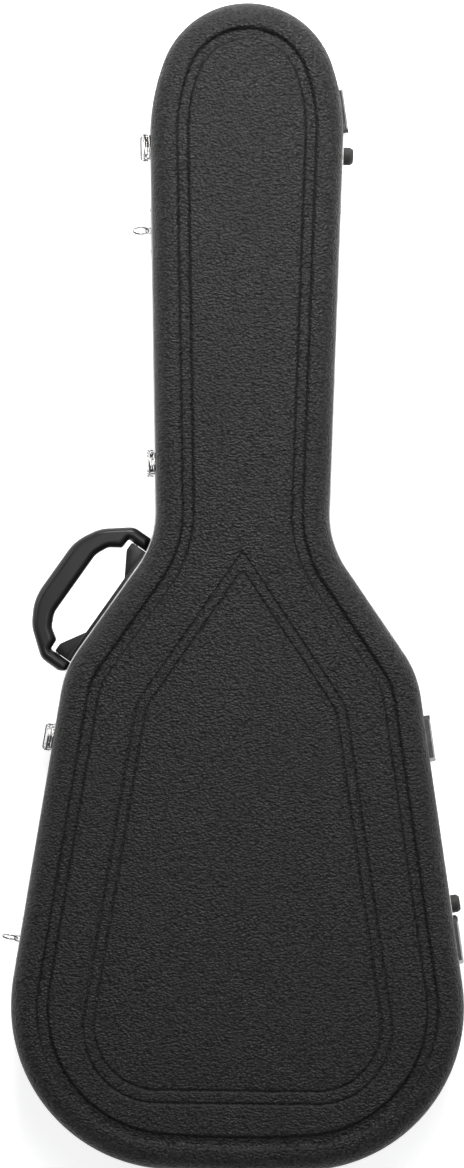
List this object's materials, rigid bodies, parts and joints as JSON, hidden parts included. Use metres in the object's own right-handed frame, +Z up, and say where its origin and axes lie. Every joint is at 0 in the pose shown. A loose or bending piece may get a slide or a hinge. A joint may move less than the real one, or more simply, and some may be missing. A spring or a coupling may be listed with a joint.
{
  "type": "guitar case",
  "caption": "Hard moulded case for an acoustic guitar, with a hinged lid, draw latches, a folding handle, strap rings and a padded guitar-shaped inside.",
  "frame": {"origin": "on the centre line, half-way along the case, on the flat back that it lies on", "axes": "+Y to the head end, +Z up through the lid, +X to the hinges"},
  "size_m": [0.4501, 1.1268, 0.15],
  "materials": {
    "shell_plastic": "vacuum-formed, leather grain",
    "rim_aluminium": "satin anodised",
    "foam": "moulded foam",
    "plush": "short plush pile",
    "chrome": "bright plated",
    "steel": "plain",
    "handle_plastic": "satin",
    "rubber": "matte"
  },
  "bodies": {
    "base": {"base_foam": "foam", "base_lining": "plush", "base_rim": "rim_aluminium", "base_shell": "shell_plastic", "body_latch_pin": "steel", "body_latch_plate": "chrome", "body_latch_spring": "steel", "bout_hinge_base_leaf": "chrome", "bout_hinge_pin": "steel", "handle_base": "handle_plastic", "handle_pin_lower": "steel", "handle_pin_upper": "steel", "head_hinge_base_leaf": "chrome", "head_hinge_pin": "steel", "head_latch_pin": "steel", "head_latch_plate": "chrome", "head_latch_spring": "steel", "lower_foot": "rubber", "lower_foot_screw": "steel", "lower_ring_plate": "chrome", "neck_latch_pin": "steel", "neck_latch_plate": "chrome", "neck_latch_spring": "steel", "neck_rest": "plush", "pocket_hinge_tape": "plush", "shoulder_hinge_base_leaf": "chrome", "shoulder_hinge_pin": "steel", "upper_foot": "rubber", "upper_foot_screw": "steel", "upper_ring_plate": "chrome"},
    "lid": {"body_latch_keeper": "chrome", "bout_hinge_lid_leaf": "chrome", "head_hinge_lid_leaf": "chrome", "head_latch_keeper": "chrome", "lid_foam": "foam", "lid_lining": "plush", "lid_rim": "rim_aluminium", "lid_shell": "shell_plastic", "neck_latch_keeper": "chrome", "shoulder_hinge_lid_leaf": "chrome"},
    "body_latch_hook": {"body_latch_hook": "chrome"},
    "body_latch_lever": {"body_latch_lever": "chrome"},
    "handle": {"handle_grip": "handle_plastic"},
    "head_latch_hook": {"head_latch_hook": "chrome"},
    "head_latch_lever": {"head_latch_lever": "chrome"},
    "lower_ring": {"lower_strap_ring": "chrome"},
    "neck_latch_hook": {"neck_latch_hook": "chrome"},
    "neck_latch_lever": {"neck_latch_lever": "chrome"},
    "pocket_lid": {"pocket_lid": "plush", "pocket_pull_tab": "plush"},
    "upper_ring": {"upper_strap_ring": "chrome"}
  },
  "joints": [
    {"name": "lid_hinge", "type": "hinge", "parent": "base", "child": "lid", "pos_m": [0.0945, 0.462, 0.098], "axis": [-0.1482, 0.989, 0], "range_deg": [0, 105]},
    {"name": "head_latch_lever_pivot", "type": "hinge", "parent": "base", "child": "head_latch_lever", "pos_m": [-0.09903, 0.42635, 0.09], "axis": [-0.0257, 0.9997, 0], "range_deg": [0, 110]},
    {"name": "head_latch_hook_pivot", "type": "hinge", "parent": "base", "child": "head_latch_hook", "pos_m": [-0.09903, 0.42635, 0.09], "axis": [0.0257, -0.9997, 0], "range_deg": [0, 90]},
    {"name": "neck_latch_lever_pivot", "type": "hinge", "parent": "base", "child": "neck_latch_lever", "pos_m": [-0.09116, 0.11985, 0.09], "axis": [-0.0257, 0.9997, 0], "range_deg": [0, 110]},
    {"name": "neck_latch_hook_pivot", "type": "hinge", "parent": "base", "child": "neck_latch_hook", "pos_m": [-0.09116, 0.11985, 0.09], "axis": [0.0257, -0.9997, 0], "range_deg": [0, 90]},
    {"name": "body_latch_lever_pivot", "type": "hinge", "parent": "base", "child": "body_latch_lever", "pos_m": [-0.18664, -0.14708, 0.09], "axis": [0.1538, 0.9881, 0], "range_deg": [0, 110]},
    {"name": "body_latch_hook_pivot", "type": "hinge", "parent": "base", "child": "body_latch_hook", "pos_m": [-0.18664, -0.14708, 0.09], "axis": [-0.1538, -0.9881, 0], "range_deg": [0, 90]},
    {"name": "handle_pivot", "type": "hinge", "parent": "base", "child": "handle", "pos_m": [-0.14138, -0.01275, 0.076], "axis": [-0.5707, -0.8211, 0], "range_deg": [-85, 85]},
    {"name": "upper_ring_swing", "type": "hinge", "parent": "base", "child": "upper_ring", "pos_m": [-0.09489, 0.3469, 0.08], "axis": [0, 0, 1], "range_deg": [-75, 75]},
    {"name": "lower_ring_swing", "type": "hinge", "parent": "base", "child": "lower_ring", "pos_m": [-0.21517, -0.344, 0.08], "axis": [0, 0, 1], "range_deg": [-75, 75]},
    {"name": "pocket_lid_hinge", "type": "hinge", "parent": "base", "child": "pocket_lid", "pos_m": [0, 0.232, 0.0518], "axis": [-1, 0, 0], "range_deg": [0, 95]}
  ]
}
